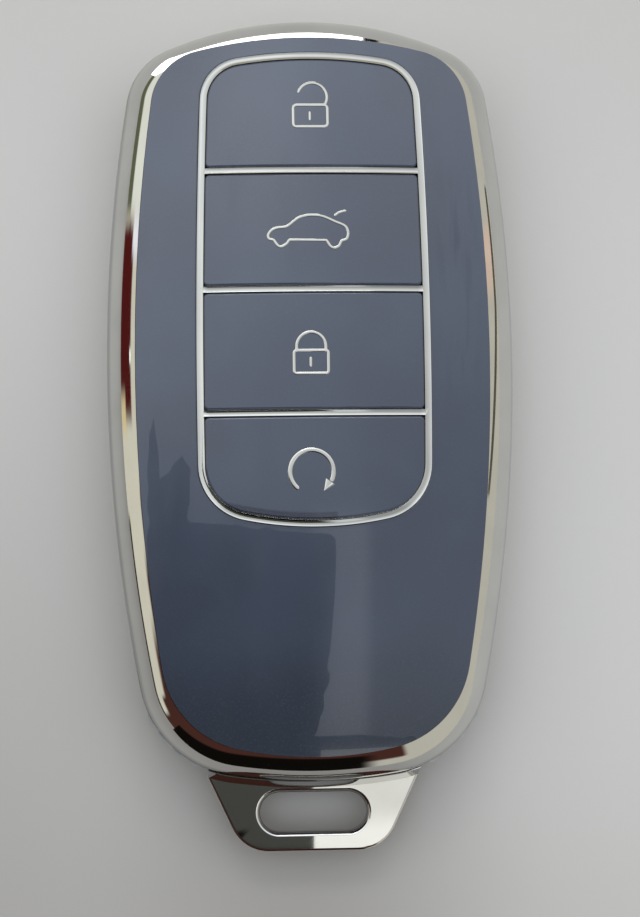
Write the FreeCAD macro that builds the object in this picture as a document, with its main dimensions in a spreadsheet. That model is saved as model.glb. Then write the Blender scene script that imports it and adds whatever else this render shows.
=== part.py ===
import FreeCAD, Part
import math
import os
import re
import Sketcher

# A snap-on cover for a car key fob: a rear tray with its panel and keyring tab, and a front frame with
# a domed panel, four keys and the bead between them. Lengths are in millimetres, angles in degrees.
# The origin is the middle of the back face; +Y runs to the upper end and +Z out of the keys.

# Alias, value and meaning of each driving dimension.
SIZES = (
    ("cover_length", 84.4, "body without the tab, end to end"),
    ("cover_width", 45.1, "body across its widest place"),
    ("widest_at", 3.5, "widest place, from the middle towards the upper end"),
    ("side_radius", 188, "bow of the long sides"),
    ("crown_radius", 42, "bow of the upper end"),
    ("crown_corner", 7.6, "upper corners"),
    ("foot_radius", 62, "bow of the lower end"),
    ("foot_corner", 12, "lower corners"),
    ("tray_wall", 1.8, "side wall of the rear tray"),
    ("tray_floor", 1.8, "floor of the rear tray"),
    ("rim_height", 8, "top of the rear tray above the back face"),
    ("rim_round", 6.2, "convex rim between the cover's side and its face"),
    ("back_round", 3.2, "rounding between the tray's side and its back"),
    ("rib_radius", 0.7, "grip ribs at the lower corners"),
    ("rib_proud", 0.35, "how far a grip rib stands out"),
    ("rib_start", 28, "direction of the first grip rib, below the X axis"),
    ("rib_step", 11, "turn from one grip rib to the next"),
    ("rib_count", 4, "grip ribs at each lower corner"),
    ("rib_height", 3.2, "grip ribs, up from the rounding of the back"),
    ("side_rim", 3.21, "rim from the cover's side to the front panel"),
    ("end_rim", 2.79, "rim from the cover's upper end to the front panel"),
    ("foot_rim", 2.98, "rim from the cover's lower end to the front panel"),
    ("panel_side_radius", 213, "bow of the front panel's long sides"),
    ("panel_crown_radius", 56, "bow of the front panel's upper end"),
    ("panel_crown_corner", 6.3, "upper corners of the front panel"),
    ("panel_foot_radius", 40.2, "bow of the front panel's lower end"),
    ("panel_foot_corner", 10.65, "lower corners of the front panel"),
    ("panel_round", 0.3, "rounded edge of the front panel"),
    ("panel_thickness", 1.2, "front panel"),
    ("panel_seat", 0.8, "ledge of the front frame below the front panel"),
    ("seat_thickness", 1.2, "front frame below the front panel's edge"),
    ("panel_fit", 0.05, "gap between a panel and its seat"),
    ("back_panel_inset", 0.8, "rear panel, inside the outline of the front panel"),
    ("back_panel_thickness", 0.8, "rear panel"),
    ("dome_height", 16.2, "crest of the front panel above the back face"),
    ("dome_cross_radius", 80, "crown of the face across the cover"),
    ("dome_long_radius", 280, "crown of the face along the cover"),
    ("half_fit", 0.25, "gap between the front frame's skirt and the tray"),
    ("rim_gap", 0.12, "parting line between the tray's rim and the front frame"),
    ("skirt_wall", 1.2, "skirt of the front frame"),
    ("skirt_bottom", 5, "lower edge of the front frame's skirt"),
    ("catch_proud", 0.15, "snap catches on the skirt"),
    ("catch_length", 9, "snap catches along the cover"),
    ("catch_height", 0.8, "snap catches"),
    ("catch_bottom", 5.7, "underside of the snap catches"),
    ("catch_at", 22, "snap catches, from the middle"),
    ("catch_room", 0.3, "room around a snap catch in its notch"),
    ("grid_width", 24.72, "outer bead, middle to middle, at its widest"),
    ("grid_head_gap", 2.15, "outer bead's upper end, below the front panel's edge"),
    ("grid_widest_at", 35.4, "widest place of the outer bead, below its upper end"),
    ("grid_side_radius", 700, "bow of the outer bead's sides"),
    ("grid_crown_radius", 54, "bow of the outer bead's upper end"),
    ("grid_crown_corner", 4.4, "upper corners of the outer bead"),
    ("grid_foot_radius", 38, "bow of the outer bead's lower end"),
    ("grid_foot_corner", 5.75, "lower corners of the outer bead"),
    ("unlock_height", 12.8, "first key, from the outer bead to the first bar"),
    ("trunk_height", 13.02, "second key, from bar to bar"),
    ("lock_height", 13.45, "third key, from bar to bar"),
    ("start_height", 11.91, "fourth key, from the last bar to the outer bead"),
    ("bead_width", 0.7, "bead around the keys"),
    ("bar_width", 0.58, "bars between the keys"),
    ("bead_rise", 0.35, "bead above the front panel"),
    ("bead_depth", 0.3, "head of the bead, above its stem"),
    ("stem_width", 0.3, "stem of the bead"),
    ("key_fit", 0.2, "gap between a key and the bead's stem"),
    ("key_rise", 0.25, "crest of a key above the front panel"),
    ("key_corner", 0.6, "corners of a key at the bars"),
    ("key_round", 0.28, "rounded edge of a key"),
    ("key_travel", 0.8, "stroke of a key"),
    ("flange_reach", 0.4, "key's flange, outside the outer bead's middle line"),
    ("flange_thickness", 0.9, "key's flange"),
    ("flange_fit", 0.2, "gap above a key's flange, and below it at the end of the stroke"),
    ("presser_radius", 2.2, "presser below each key"),
    ("presser_length", 3.1, "presser below a key's flange"),
    ("carrier_wall", 0.6, "wall of the key carrier"),
    ("carrier_floor", 0.8, "floor of the key carrier"),
    ("presser_fit", 0.4, "gap around a presser in the carrier's floor"),
    ("ring_wall", 0.9, "return ring below each key"),
    ("ring_fit", 0.05, "gap above and below a return ring"),
    ("tab_width", 23.5, "keyring tab where it leaves the tray"),
    ("tab_reach", 8.2, "keyring tab beyond the cover's end"),
    ("tab_splay", 25, "slant of the keyring tab's sides"),
    ("tab_corner", 4.6, "outer corners of the keyring tab"),
    ("tab_bottom", 2, "underside of the keyring tab"),
    ("tab_thickness", 2.4, "keyring tab"),
    ("tab_head", 1.2, "head of the keyring tab inside the tray, on each side"),
    ("tab_head_depth", 1.3, "head of the keyring tab along the cover"),
    ("tab_round", 0.35, "rounded edges of the keyring tab"),
    ("tab_fit", 0.1, "gap around the keyring tab in the tray's wall"),
    ("shoulder_reach", 1.1, "shoulder of the keyring tab, beyond the cover's end"),
    ("shoulder_rise", 3, "shoulder above the keyring tab"),
    ("slot_length", 12, "keyring slot"),
    ("slot_width", 4.4, "keyring slot"),
    ("slot_bevel", 0.5, "bevel of the keyring slot"),
    ("slot_at", 3.83, "middle of the keyring slot, beyond the cover's end"),
)
NAMES = {name for name, _, _ in SIZES}

doc = FreeCAD.newDocument("key_fob_cover")
sheet = doc.addObject("Spreadsheet::Sheet", "Sizes")
for row, (name, number, meaning) in enumerate(SIZES, start=1):
    sheet.set(f"A{row}", meaning)
    sheet.set(f"B{row}", str(number))
    sheet.setAlias(f"B{row}", name)
doc.recompute()


def linked(formula):
    """The formula with each dimension's name led to its cell."""
    return re.sub(r"[a-z_]\w*", lambda word: f"Sizes.{word[0]}" if word[0] in NAMES else word[0], formula)


def size(formula):
    """The formula's value."""
    return float(sheet.evalExpression(linked(formula)))


def bind(thing, **formulas):
    """Ties properties of a document object to the sheet; a double underscore stands for a dot."""
    for path, formula in formulas.items():
        thing.setExpression(path.replace("__", "."), linked(formula))
    return thing


def add(kind, label):
    """A new document object with its label."""
    thing = doc.addObject(kind, label)
    thing.Label = label
    return thing


# Outlines

COVER = {
    "half_width": "cover_width / 2",
    "widest": "widest_at",
    "top": "cover_length / 2",
    "bottom": "-cover_length / 2",
    "side": "side_radius",
    "crown": "crown_radius",
    "crown_corner": "crown_corner",
    "foot": "foot_radius",
    "foot_corner": "foot_corner",
}
PANEL = {
    "half_width": "cover_width / 2 - side_rim",
    "widest": "widest_at",
    "top": "cover_length / 2 - end_rim",
    "bottom": "foot_rim - cover_length / 2",
    "side": "panel_side_radius",
    "crown": "panel_crown_radius",
    "crown_corner": "panel_crown_corner",
    "foot": "panel_foot_radius",
    "foot_corner": "panel_foot_corner",
}
# Heights of the outer bead's ends and of the bars, down from the front panel's upper edge
GRID_TOP = "(cover_length / 2 - end_rim - grid_head_gap)"
UPPER_BAR = f"({GRID_TOP} - unlock_height)"
MIDDLE_BAR = f"({UPPER_BAR} - trunk_height)"
LOWER_BAR = f"({MIDDLE_BAR} - lock_height)"
GRID_BOTTOM = f"({LOWER_BAR} - start_height)"
GRID = {
    "half_width": "grid_width / 2",
    "widest": f"{GRID_TOP} - grid_widest_at",
    "top": GRID_TOP,
    "bottom": GRID_BOTTOM,
    "side": "grid_side_radius",
    "crown": "grid_crown_radius",
    "crown_corner": "grid_crown_corner",
    "foot": "grid_foot_radius",
    "foot_corner": "grid_foot_corner",
}


def corner_centre(outline, end):
    """Centre of the right-hand corner arc between the side's arc and the arc of an end, crown or foot."""
    radius = size(outline[end + "_corner"])
    side_reach = size(outline["side"]) - radius
    end_reach = size(outline[end]) - radius
    side_x = size(outline["half_width"]) - size(outline["side"])
    side_y = size(outline["widest"])
    end_y = size(outline["top"]) - size(outline["crown"])
    if end == "foot":
        end_y = size(outline["bottom"]) + size(outline["foot"])
    apart = math.hypot(side_x, end_y - side_y)
    along = (side_reach**2 - end_reach**2 + apart**2) / (2 * apart)
    across = math.sqrt(side_reach**2 - along**2) * (1 if end == "crown" else -1)
    x = side_x + (along * -side_x - across * (end_y - side_y)) / apart
    y = side_y + (along * (end_y - side_y) + across * -side_x) / apart
    return x, y


def outline_sketch(label, outline, inset="0", height="0"):
    """An outline of eight tangent arcs, drawn parallel to the named one at an inset, at a height."""
    upper = corner_centre(outline, "crown")
    lower = corner_centre(outline, "foot")
    side_x = f"{outline['half_width']} - ({outline['side']})"
    crown_y = f"{outline['top']} - ({outline['crown']})"
    foot_y = f"{outline['bottom']} + {outline['foot']}"
    widest = size(outline["widest"])
    centres = (
        (size(side_x), widest),
        upper,
        (0, size(crown_y)),
        (-upper[0], upper[1]),
        (-size(side_x), widest),
        (-lower[0], lower[1]),
        (0, size(foot_y)),
        lower,
    )
    kinds = ("side", "crown_corner", "crown", "crown_corner", "side", "foot_corner", "foot", "foot_corner")
    sketch = add("Sketcher::SketchObject", label)
    for place, (kind, centre) in enumerate(zip(kinds, centres)):
        before = centres[place - 1]
        after = centres[(place + 1) % 8]
        is_corner = place % 2 == 1
        near = (centre, before) if is_corner else (before, centre)
        far = (centre, after) if is_corner else (after, centre)
        start = math.atan2(near[0][1] - near[1][1], near[0][0] - near[1][0])
        end = math.atan2(far[0][1] - far[1][1], far[0][0] - far[1][0])
        if end < start:
            end += 2 * math.pi
        radius = size(f"{outline[kind]} - ({inset})")
        circle = Part.Circle(FreeCAD.Vector(*centre, 0), FreeCAD.Vector(0, 0, 1), radius)
        sketch.addGeometry(Part.ArcOfCircle(circle, start, end))
    for place, kind in enumerate(kinds):
        sketch.addConstraint(Sketcher.Constraint("Tangent", place, 2, (place + 1) % 8, 1))
        measure(sketch, f"{outline[kind]} - ({inset})", "Radius", place)
    for place, x in ((0, side_x), (4, f"-({side_x})")):
        measure(sketch, x, "DistanceX", -1, 1, place, 3)
        measure(sketch, outline["widest"], "DistanceY", -1, 1, place, 3)
    for place, y in ((2, crown_y), (6, foot_y)):
        sketch.addConstraint(Sketcher.Constraint("PointOnObject", place, 3, -2))
        measure(sketch, y, "DistanceY", -1, 1, place, 3)
    return bind(sketch, Placement__Base__z=height)


def measure(sketch, formula, kind, *places):
    """A dimension of a sketch, tied to the sheet."""
    number = sketch.addConstraint(Sketcher.Constraint(kind, *places, size(formula)))
    sketch.setExpression(f"Constraints[{number}]", linked(formula))


# Solids that the pieces are cut from

def prism(label, sketch, low, high):
    """A sketch of the XY plane as a solid between two heights."""
    solid = add("Part::Extrusion", label)
    solid.Base = sketch
    solid.DirMode = "Custom"
    solid.Dir = FreeCAD.Vector(0, 0, 1)
    solid.Solid = True
    return bind(solid, LengthFwd=high, LengthRev=f"-({low})")


def outline_prism(label, outline, inset, low, high):
    """The solid inside an outline between two heights."""
    return prism(label, outline_sketch(label + "_outline", outline, inset), low, high)


def box(label, x, y, z, wide, deep, high):
    """A block with its least corner at x, y, z."""
    block = add("Part::Box", label)
    bind(block, Placement__Base__x=x, Placement__Base__y=y, Placement__Base__z=z)
    return bind(block, Length=wide, Width=deep, Height=high)


def cylinder(label, x, y, z, radius, high):
    """An upright cylinder on the point x, y, z."""
    post = add("Part::Cylinder", label)
    bind(post, Placement__Base__x=x, Placement__Base__y=y, Placement__Base__z=z)
    return bind(post, Radius=radius, Height=high)


def cut(label, base, tool):
    """The base without the tool."""
    result = add("Part::Cut", label)
    result.Base = base
    result.Tool = tool
    return result


def fuse(label, *solids):
    """Solids joined to one."""
    result = add("Part::MultiFuse", label)
    result.Shapes = list(solids)
    result.Refine = True
    return result


def common(label, *solids):
    """What the solids share."""
    result = add("Part::MultiCommon", label)
    result.Shapes = list(solids)
    return result


def rounded(label, base, radius_of_edge):
    """The base with a fillet on each edge that the rule gives a radius to."""
    doc.recompute()
    result = add("Part::Fillet", label)
    result.Base = base
    edges = []
    for number, edge in enumerate(base.Shape.Edges, start=1):
        radius = radius_of_edge(edge)
        if radius:
            edges.append((number, radius, radius))
    result.Edges = edges
    return result


def dome(label, rise):
    """Everything below the crowned face, lifted by a rise, out past the cover's edge."""
    span = "(cover_width / 2 + tray_wall)"
    crest = f"(dome_height + {rise})"
    sketch = add("Sketcher::SketchObject", label + "_profile")
    sketch.Placement = FreeCAD.Placement(FreeCAD.Vector(), FreeCAD.Rotation(FreeCAD.Vector(1, 0, 0), 90))
    centre = FreeCAD.Vector(0, size(f"{crest} - dome_cross_radius"), 0)
    radius = size("dome_cross_radius")
    half = size(span)
    lean = math.acos(half / radius)
    shoulder = centre.y + radius * math.sin(lean)
    base = size("-dome_height")
    circle = Part.Circle(centre, FreeCAD.Vector(0, 0, 1), radius)
    corners = ((-half, shoulder), (-half, base), (half, base), (half, shoulder))
    sketch.addGeometry(Part.ArcOfCircle(circle, lean, math.pi - lean))
    for near, far in zip(corners, corners[1:]):
        sketch.addGeometry(Part.LineSegment(FreeCAD.Vector(*near, 0), FreeCAD.Vector(*far, 0)))
    for place in range(4):
        sketch.addConstraint(Sketcher.Constraint("Coincident", place, 2, (place + 1) % 4, 1))
    sketch.addConstraint(Sketcher.Constraint("Vertical", 1))
    sketch.addConstraint(Sketcher.Constraint("Horizontal", 2))
    sketch.addConstraint(Sketcher.Constraint("Vertical", 3))
    sketch.addConstraint(Sketcher.Constraint("PointOnObject", 0, 3, -2))
    measure(sketch, "dome_cross_radius", "Radius", 0)
    measure(sketch, f"{crest} - dome_cross_radius", "DistanceY", -1, 1, 0, 3)
    measure(sketch, f"-{span}", "DistanceX", -1, 1, 1, 2)
    measure(sketch, span, "DistanceX", -1, 1, 2, 2)
    measure(sketch, "-dome_height", "DistanceY", -1, 1, 2, 1)
    solid = add("Part::Revolution", label)
    solid.Source = sketch
    solid.Axis = FreeCAD.Vector(1, 0, 0)
    solid.Symmetric = True
    solid.Solid = True
    reach = "asin((cover_length / 2 + tab_reach) / (dome_long_radius - dome_height))"
    return bind(solid, Base__z=f"{crest} - dome_long_radius", Angle=f"2 * {reach} / 1 deg")


def shell(label, upper, lower):
    """The layer between two domes."""
    return cut(label, upper, lower)


# Levels of the face, measured from the front panel's crest

BEAD_TOP = "bead_rise"
BEAD_UNDER = "bead_rise - bead_depth"
PANEL_UNDER = "-panel_thickness"
FLANGE_TOP = "-panel_thickness - flange_fit"
FLANGE_UNDER = f"{FLANGE_TOP} - flange_thickness"
FLOOR_TOP = f"{FLANGE_UNDER} - key_travel - flange_fit"
FLOOR_UNDER = f"{FLOOR_TOP} - carrier_floor"
PRESSER_END = f"{FLANGE_UNDER} - presser_length"
TOUCH = 0.001

panel_dome = dome("panel_dome", "0")
panel_under_dome = dome("panel_under_dome", PANEL_UNDER)
panel_seat_dome = dome("panel_seat_dome", f"{PANEL_UNDER} - panel_fit")
roof_dome = dome("roof_dome", f"{PANEL_UNDER} - panel_fit - seat_thickness")
bead_dome = dome("bead_dome", BEAD_TOP)
bead_under_dome = dome("bead_under_dome", BEAD_UNDER)
key_dome = dome("key_dome", "key_rise")
flange_dome = dome("flange_dome", FLANGE_TOP)
flange_under_dome = dome("flange_under_dome", FLANGE_UNDER)
ring_dome = dome("ring_dome", f"{FLANGE_UNDER} - ring_fit")
ring_under_dome = dome("ring_under_dome", f"{FLOOR_TOP} + ring_fit")
floor_dome = dome("floor_dome", FLOOR_TOP)
floor_under_dome = dome("floor_under_dome", FLOOR_UNDER)
presser_dome = dome("presser_dome", PRESSER_END)


# Both halves

def body():
    """The closed cover as one solid: upright sides, rounded to the crowned face and to the back."""
    block = common("body_block", outline_prism("body_prism", COVER, "0", "0", "dome_height"), panel_dome)

    def radius_of_edge(edge):
        room = edge.BoundBox
        if room.ZMax < TOUCH:
            return size("back_round")
        is_upright = room.XLength < TOUCH and room.YLength < TOUCH
        return 0 if is_upright else size("rim_round")

    return rounded("body", block, radius_of_edge)


def below(label, level):
    """Everything under a level, out past the cover."""
    wide = "2 * cover_width"
    deep = "2 * cover_length"
    return box(label, "-cover_width", "-cover_length", "-tray_floor", wide, deep, f"{level} + tray_floor")


def catch_rows(label, room):
    """Blocks across the cover where the snap catches of both sides lie, with room at their ends."""
    rows = []
    for name, middle in (("upper", "catch_at"), ("lower", "-catch_at")):
        y = f"{middle} - catch_length / 2 - {room}"
        deep = f"catch_length + 2 * {room}"
        rows.append(box(f"{label}_{name}", "-cover_width", y, "0", "2 * cover_width", deep, "rim_height"))
    return fuse(label, *rows)


def grip_ribs():
    """Upright ribs on the two lower corners, evenly turned about the corner's middle."""
    x, y = corner_centre(COVER, "foot")
    reach = "(foot_corner - rib_radius + rib_proud)"
    ribs = []
    for name, side in (("left", -1), ("right", 1)):
        for number in range(int(size("rib_count"))):
            turn = f"(rib_start + {number} * rib_step)"
            rib_x = f"{side} * ({x} + {reach} * cos({turn}))"
            rib_y = f"{y} - {reach} * sin({turn})"
            label = f"rib_{name}_{number + 1}"
            ribs.append(cylinder(label, rib_x, rib_y, "back_round", "rib_radius", "rib_height"))
    return ribs


# Rear half

def rear_tray():
    """Chrome-plated tray below the parting line, with a recess for its panel and a mortise for the tab."""
    lower_half = common("tray_block", whole, below("tray_side", "rim_height"))
    ribbed = fuse("tray_ribbed", lower_half, *grip_ribs())
    cavity = outline_prism("tray_cavity", COVER, "tray_wall", "tray_floor", "rim_height + rim_gap")
    recess = outline_prism("tray_recess", PANEL, "back_panel_inset", "-panel_fit", "back_panel_thickness")
    low = "catch_bottom - catch_room"
    high = "catch_bottom + catch_height + catch_room"
    band = outline_prism("notch_band", COVER, "tray_wall - catch_room", low, high)
    notches = common("notches", band, catch_rows("notch_rows", "catch_room"))
    wide = "tab_width + 2 * tab_fit"
    mortise = box(
        "tab_mortise",
        f"-({wide}) / 2",
        "-cover_length / 2 - tray_wall",
        "tab_bottom - tab_fit",
        wide,
        "tray_wall + foot_corner / 2",
        "tab_thickness + 2 * tab_fit",
    )
    return cut("rear_tray", ribbed, fuse("tray_hollows", cavity, recess, notches, mortise))


def rear_panel():
    """Blue panel let into the back of the tray, flush with it."""
    inset = "back_panel_inset + panel_fit"
    return outline_prism("rear_panel", PANEL, inset, "0", "back_panel_thickness - panel_fit")


def tab_outline(sketch):
    """Outline of the keyring tab: head inside the tray, neck through its wall and splayed tongue."""
    x, y = corner_centre(COVER, "foot")
    half = "tab_width / 2"
    head = f"({half} + tab_head)"
    reach = "(foot_corner - tray_wall - tab_fit)"
    shoulder = f"{y} - sqrt({reach} ^ 2 - ({head} - {x}) ^ 2)"
    end = "-cover_length / 2"
    right = (
        (f"{half} - tab_reach * tan(tab_splay)", f"{end} - tab_reach"),
        (half, end),
        (half, shoulder),
        (head, shoulder),
        (head, f"{shoulder} + tab_head_depth"),
    )
    left = [(f"-({x})", y) for x, y in reversed(right)]
    polygon(sketch, [*right, *left])


def polygon(sketch, corners):
    """A closed chain of straight lines whose corners are tied to the sheet."""
    points = [FreeCAD.Vector(size(x), size(y), 0) for x, y in corners]
    count = len(points)
    for place, point in enumerate(points):
        sketch.addGeometry(Part.LineSegment(point, points[(place + 1) % count]))
    for place, (x, y) in enumerate(corners):
        sketch.addConstraint(Sketcher.Constraint("Coincident", place, 2, (place + 1) % count, 1))
        measure(sketch, x, "DistanceX", -1, 1, place, 1)
        measure(sketch, y, "DistanceY", -1, 1, place, 1)


def slot_outline(sketch):
    """Outline of the keyring slot: two straight sides and two half circles."""
    half = size("slot_length / 2 - slot_width / 2")
    radius = size("slot_width / 2")
    middle = size("-cover_length / 2 - slot_at")
    up = FreeCAD.Vector(0, 0, 1)
    for side, start in ((1, -math.pi / 2), (-1, math.pi / 2)):
        circle = Part.Circle(FreeCAD.Vector(side * half, middle, 0), up, radius)
        sketch.addGeometry(Part.ArcOfCircle(circle, start, start + math.pi))
    for side in (1, -1):
        near = FreeCAD.Vector(side * half, middle + side * radius, 0)
        far = FreeCAD.Vector(-side * half, middle + side * radius, 0)
        sketch.addGeometry(Part.LineSegment(near, far))
    for first, second in ((0, 2), (2, 1), (1, 3), (3, 0)):
        sketch.addConstraint(Sketcher.Constraint("Tangent", first, 2, second, 1))
    sketch.addConstraint(Sketcher.Constraint("Horizontal", 2))
    for place, sign in ((0, ""), (1, "-")):
        measure(sketch, f"{sign}(slot_length - slot_width) / 2", "DistanceX", -1, 1, place, 3)
    measure(sketch, "-cover_length / 2 - slot_at", "DistanceY", -1, 1, 0, 3)
    measure(sketch, "slot_width / 2", "Radius", 0)


def flat_sketch(body, label, height):
    """A sketch of a body, parallel to its base plane at a height."""
    sketch = body.newObject("Sketcher::SketchObject", label)
    plane = next(feature for feature in body.Origin.OriginFeatures if feature.Role == "XY_Plane")
    sketch.AttachmentSupport = [(plane, "")]
    sketch.MapMode = "FlatFace"
    return bind(sketch, AttachmentOffset__Base__z=height)


def edge_names(shape, wanted):
    """Names of the edges that the rule wants."""
    return [f"Edge{number}" for number, edge in enumerate(shape.Edges, start=1) if wanted(edge)]


def tab_plate():
    """The flat of the keyring tab, with the bevelled slot for a split ring and the head inside the tray."""
    body = add("PartDesign::Body", "tab_plate")
    outline = flat_sketch(body, "tab_sketch", "tab_bottom")
    tab_outline(outline)
    pad = body.newObject("PartDesign::Pad", "tab_pad")
    pad.Profile = outline
    bind(pad, Length="tab_thickness")
    doc.recompute()
    end = size("-cover_length / 2")

    tip = end - size("tab_reach")

    def is_level(edge):
        return edge.BoundBox.ZLength < TOUCH

    def is_tip_corner(edge):
        return edge.BoundBox.YMax < tip + TOUCH and not is_level(edge)

    corners = body.newObject("PartDesign::Fillet", "tab_corners")
    corners.Base = (pad, edge_names(pad.Shape, is_tip_corner))
    bind(corners, Radius="tab_corner")
    doc.recompute()

    slot = flat_sketch(body, "slot_sketch", "tab_bottom + tab_thickness")
    slot_outline(slot)
    pocket = body.newObject("PartDesign::Pocket", "tab_slot")
    pocket.Profile = slot
    pocket.Type = "ThroughAll"
    doc.recompute()
    if pocket.Shape.Volume > corners.Shape.Volume - TOUCH:
        raise RuntimeError("the keyring slot cuts nothing")

    half_slot = size("slot_length / 2") + TOUCH

    def is_slot_edge(edge):
        room = edge.BoundBox
        inside = abs(room.Center.x) < half_slot and tip + TOUCH < room.YMin < room.YMax + TOUCH < end
        return is_level(edge) and inside

    bevel = body.newObject("PartDesign::Chamfer", "slot_bevel")
    bevel.Base = (pocket, edge_names(pocket.Shape, is_slot_edge))
    bind(bevel, Size="slot_bevel")
    doc.recompute()

    def is_rim_edge(edge):
        room = edge.BoundBox
        outside = abs(room.Center.x) > half_slot + size("slot_bevel") or room.YMax < tip + TOUCH
        return is_level(edge) and outside and room.YMax < end + TOUCH

    rim = body.newObject("PartDesign::Fillet", "tab_rim")
    rim.Base = (bevel, edge_names(bevel.Shape, is_rim_edge))
    bind(rim, Radius="tab_round")
    doc.recompute()
    return body


def slot_room():
    """The column over the keyring slot and its bevel."""
    middle = "-cover_length / 2 - slot_at"
    radius = "(slot_width / 2 + slot_bevel)"
    straight = "(slot_length - slot_width)"
    x = f"-{straight} / 2"
    y = f"{middle} - {radius}"
    column = [box("slot_room_middle", x, y, "0", straight, f"2 * {radius}", "rim_height")]
    for name, side in (("left", "-"), ("right", "")):
        x = f"{side}{straight} / 2"
        column.append(cylinder(f"slot_room_{name}", x, middle, "0", radius, "rim_height"))
    return fuse("slot_room", *column)


def tab_shoulder():
    """Slope along the tray's wall that carries the keyring tab, as wide as the tab there."""
    foot = outline_sketch("shoulder_foot", COVER, "-shoulder_reach", "tab_bottom + tab_thickness")
    top = outline_sketch("shoulder_top", COVER, "-2 * tab_fit", "tab_bottom + tab_thickness + shoulder_rise")
    slope = add("Part::Loft", "shoulder_slope")
    slope.Sections = [foot, top]
    slope.Solid = True
    slope.Ruled = True
    core = outline_prism("shoulder_core", COVER, "-tab_fit", "0", "rim_height")
    end = "-cover_length / 2"
    right = (
        ("(tab_width / 2 - tab_reach * tan(tab_splay))", f"{end} - tab_reach"),
        ("tab_width / 2", end),
        ("tab_width / 2", f"{end} + foot_corner"),
    )
    left = [(f"-{x}", y) for x, y in reversed(right)]
    sides = add("Sketcher::SketchObject", "shoulder_sides")
    polygon(sides, [*right, *left])
    tongue = prism("shoulder_tongue", sides, "0", "rim_height")
    band = common("shoulder_band", cut("shoulder_ring", slope, core), tongue)
    return cut("tab_shoulder", band, slot_room())


def keyring_tab():
    """Chrome tab for a split ring, with the shoulder that carries it."""
    return fuse("keyring_tab", tab_plate(), tab_shoulder())


# Front half

def front_frame():
    """Chrome frame: the convex rim above the parting line, a skirt with snap catches and a panel rebate."""
    upper_half = cut("frame_rim", whole, below("frame_side", "rim_height + rim_gap"))
    inset = "tray_wall + half_fit"
    skirt = outline_prism("frame_skirt", COVER, inset, "skirt_bottom", "rim_height + 2 * rim_gap")
    high = "catch_bottom + catch_height"
    band = outline_prism("catch_band", COVER, f"{inset} - catch_proud", "catch_bottom", high)
    catches = common("catches", band, catch_rows("catch_rows", "0"))
    block = fuse("frame_block", skirt, upper_half, catches)
    hollow = outline_prism("frame_hollow", PANEL, "panel_seat", "0", "dome_height + bead_rise")
    cavity = outline_prism("frame_cavity", COVER, f"{inset} + skirt_wall", "0", "dome_height")
    room = common("frame_room", cavity, roof_dome)
    well = outline_prism("rebate_well", PANEL, "-panel_fit", "skirt_bottom", "dome_height + bead_rise")
    rebate = cut("panel_rebate", well, panel_seat_dome)
    return cut("front_frame", block, fuse("frame_hollows", hollow, room, rebate))


def front_panel():
    """Domed blue panel with the window that the bead and the keys fill."""
    inside = outline_prism("panel_prism", PANEL, "0", "0", "dome_height")
    blank = common("panel_blank", inside, shell("panel_layer", panel_dome, panel_under_dome))
    inset = "-stem_width / 2 - panel_fit"
    window = outline_prism("panel_window", GRID, inset, "0", "dome_height + bead_rise")
    ring = cut("panel_ring", blank, window)
    doc.recompute()
    rim = max(ring.Shape.Faces, key=lambda face: face.CenterOfMass.z).OuterWire

    def radius_of_edge(edge):
        return size("panel_round") if any(edge.isSame(other) for other in rim.Edges) else 0

    return rounded("front_panel", ring, radius_of_edge)


BARS = {"upper": UPPER_BAR, "middle": MIDDLE_BAR, "lower": LOWER_BAR}


def bead_layer(label, width, bar_width, layer):
    """The outer bead and its three bars in one layer of the face."""
    high = "dome_height + 2 * bead_rise"
    bars = []
    for name, middle in BARS.items():
        y = f"{middle} - {bar_width} / 2"
        bars.append(box(f"{label}_{name}_bar", "-grid_width", y, "0", "2 * grid_width", bar_width, high))
    inside = outline_prism(f"{label}_inside", GRID, f"{width} / 2", "0", high)
    windows = cut(f"{label}_windows", inside, fuse(f"{label}_bars", *bars))
    whole = outline_prism(f"{label}_whole", GRID, f"-{width} / 2", "0", high)
    return common(label, cut(f"{label}_web", whole, windows), layer)


def key_grid():
    """Chrome bead between the keys, T-shaped in section."""
    top = shell("head_layer", bead_dome, bead_under_dome)
    web = shell("stem_layer", bead_dome, panel_under_dome)
    head = bead_layer("bead_head", "bead_width", "bar_width", top)
    stem = bead_layer("bead_stem", "stem_width", "stem_width", web)
    return fuse("key_grid", head, stem)


# Name of each key with the Y of its lower and upper limits; the first and last keys end at the outer bead.
KEYS = {
    "unlock": (UPPER_BAR, GRID_TOP),
    "trunk": (MIDDLE_BAR, UPPER_BAR),
    "lock": (LOWER_BAR, MIDDLE_BAR),
    "start": (GRID_BOTTOM, LOWER_BAR),
}
KEY_INSET = "(stem_width / 2 + key_fit)"


def key_ends(name):
    """Y of both ends of the stretch of the face that one key takes up between its bars."""
    lower, upper = KEYS[name]
    low = f"({lower} + {KEY_INSET})" if lower != GRID_BOTTOM else f"({lower} - grid_foot_corner)"
    high = f"({upper} - {KEY_INSET})" if upper != GRID_TOP else f"({upper} + grid_crown_corner)"
    return low, high


def key_middle(name):
    """Y of the middle of a key."""
    lower, upper = KEYS[name]
    return f"({lower} + {upper}) / 2"


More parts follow.
